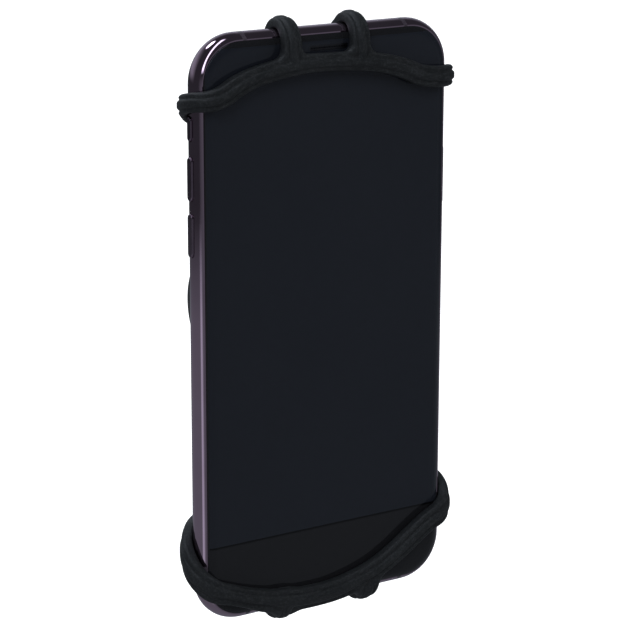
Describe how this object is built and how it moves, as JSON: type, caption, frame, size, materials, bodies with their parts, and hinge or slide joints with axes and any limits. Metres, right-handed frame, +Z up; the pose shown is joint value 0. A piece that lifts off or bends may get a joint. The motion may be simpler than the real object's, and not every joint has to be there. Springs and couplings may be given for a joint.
{
  "type": "phone handlebar mount",
  "caption": "Silicone web holder with a smartphone in it, on a click swivel and a hinged clamp for a round handlebar.",
  "frame": {"origin": "centre of the clamp's bore, on the handlebar's axis", "axes": "+X along the handlebar to the viewer's right, the handset's screen faces -Y, +Z up along the handset"},
  "size_m": [0.0776, 0.0574, 0.1502],
  "materials": {
    "silicone": "matte moulded silicone",
    "pad_foam": "matte soft pad",
    "liner_rubber": "matte rubber",
    "black_nylon": "fine spark texture",
    "knob_plastic": "fine spark texture",
    "acetal": "smooth natural acetal",
    "zinc_steel": "bright zinc",
    "bearing_steel": "polished",
    "frame_metal": "polished dark metal with a violet cast",
    "key_metal": "polished dark metal",
    "band_plastic": "smooth",
    "screen_glass": "black backed cover glass",
    "rear_glass": "black backed cover glass",
    "display": "unlit panel",
    "lens_glass": "coated glass",
    "grille_metal": "fine mesh",
    "port_metal": "satin",
    "cell_wrap": "film wrapped",
    "board": "solder mask with shield cans"
  },
  "bodies": {
    "clamp": {"clamp_base": "black_nylon", "liner_front": "liner_rubber", "hinge_pin": "zinc_steel", "clamp_nut": "zinc_steel", "glide_ring": "acetal", "friction_washer": "acetal", "retaining_plate": "zinc_steel", "center_screw": "zinc_steel", "detent_balls": "bearing_steel", "detent_springs": "bearing_steel"},
    "jaw": {"rear_jaw": "black_nylon", "liner_rear": "liner_rubber"},
    "washer": {"clamp_washer": "zinc_steel"},
    "thumbscrew": {"clamp_screw": "zinc_steel", "thumb_knob": "knob_plastic"},
    "cradle": {"silicone_web": "silicone", "phone_pad": "pad_foam", "cradle_plate": "black_nylon", "rotor_screws": "zinc_steel", "rotor": "black_nylon", "phone_frame": "frame_metal", "antenna_bands": "band_plastic", "front_glass": "screen_glass", "back_glass": "rear_glass", "display_panel": "display", "battery": "cell_wrap", "main_board": "board", "earpiece_grille": "grille_metal", "camera_window": "rear_glass", "camera_lenses": "lens_glass", "flash_lens": "lens_glass", "charge_port": "port_metal", "case_screws": "key_metal"},
    "volume_up": {"volume_up_button": "key_metal"},
    "volume_down": {"volume_down_button": "key_metal"},
    "side_key": {"side_button": "key_metal"},
    "mute": {"mute_switch": "key_metal"}
  },
  "joints": [
    {"name": "swivel", "type": "hinge", "parent": "clamp", "child": "cradle", "pos_m": [0, -0.0191, 0], "axis": [0, 1, 0], "continuous": true},
    {"name": "knob_travel", "type": "slide", "parent": "clamp", "child": "washer", "axis": [0, 1, 0], "range_m": [0, 0.0064]},
    {"name": "knob_turn", "type": "hinge", "parent": "washer", "child": "thumbscrew", "pos_m": [0, 0, -0.0215], "axis": [0, 1, 0], "range_deg": [0, 2890]},
    {"name": "jaw_open", "type": "hinge", "parent": "clamp", "child": "jaw", "pos_m": [0, 0, 0.0182], "axis": [1, 0, 0], "range_deg": [0, 7.9]},
    {"name": "volume_up_press", "type": "slide", "parent": "cradle", "child": "volume_up", "axis": [1, 0, 0], "range_m": [0, 0.0003], "stiffness_N_per_m": 500},
    {"name": "volume_down_press", "type": "slide", "parent": "cradle", "child": "volume_down", "axis": [1, 0, 0], "range_m": [0, 0.0003], "stiffness_N_per_m": 500},
    {"name": "side_key_press", "type": "slide", "parent": "cradle", "child": "side_key", "axis": [-1, 0, 0], "range_m": [0, 0.0003], "stiffness_N_per_m": 500},
    {"name": "mute_slide", "type": "slide", "parent": "cradle", "child": "mute", "axis": [0, 1, 0], "range_m": [0, 0.0008]}
  ],
  "couplings": [
    {"joint": "knob_turn", "follows": "knob_travel", "rad_per_m": 7854},
    {"joint": "jaw_open", "follows": "knob_travel", "rad_per_m": 21.206}
  ]
}
